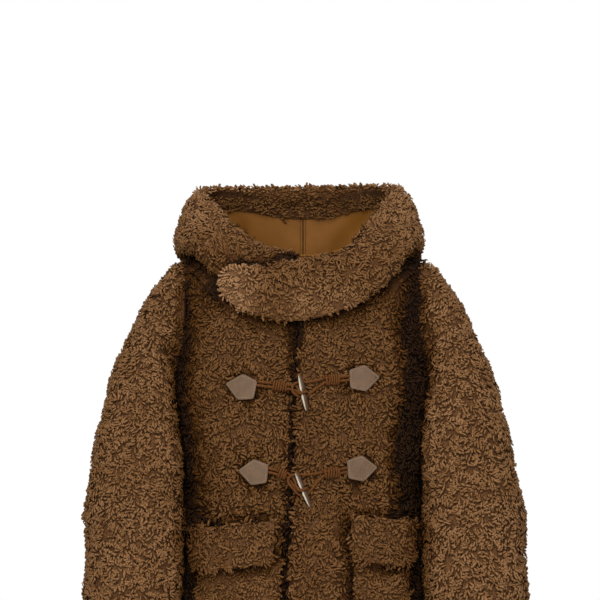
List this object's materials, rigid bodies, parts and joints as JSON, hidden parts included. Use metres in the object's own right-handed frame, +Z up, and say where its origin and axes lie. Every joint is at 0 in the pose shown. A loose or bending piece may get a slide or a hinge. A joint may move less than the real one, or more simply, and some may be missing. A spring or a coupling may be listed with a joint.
{
  "type": "shearling hooded jacket",
  "caption": "Hip-length hooded jacket of curly brown shearling with toggle and cord fastenings, patch pockets with flaps and the hood worn down as a deep collar.",
  "frame": {"origin": "the base of the neck: on the centre line, at the middle of the shoulders, where the jacket hangs on its wearer", "axes": "+Z up, -Y the jacket's front, +X the wearer's left"},
  "size_m": [0.7208, 0.421, 0.7841],
  "materials": {
    "fur": "curly brown shearling",
    "suede": "ochre suede",
    "leather": "grained taupe leather",
    "horn": "polished horn, cream with a dark side",
    "cord": "rust-brown twisted cord"
  },
  "bodies": {
    "root": {"front_right": "fur", "front_left": "fur", "back": "fur", "sleeve_right": "fur", "sleeve_left": "fur", "hood_right": "fur", "hood_left": "fur", "hood_facing_right": "fur", "hood_facing_left": "fur", "hood_lining_right": "suede", "hood_lining_left": "suede", "pocket_right": "fur", "pocket_left": "fur", "pocket_flap_right": "fur", "pocket_flap_left": "fur", "patch_right_upper": "leather", "patch_left_upper": "leather", "patch_right_lower": "leather", "patch_left_lower": "leather", "toggle_upper": "horn", "toggle_lower": "horn", "cord_upper_toggle": "cord", "cord_upper_loop": "cord", "cord_lower_toggle": "cord", "cord_lower_loop": "cord", "whipping_upper_toggle": "cord", "whipping_upper_loop": "cord", "whipping_lower_toggle": "cord", "whipping_lower_loop": "cord"}
  },
  "joints": []
}
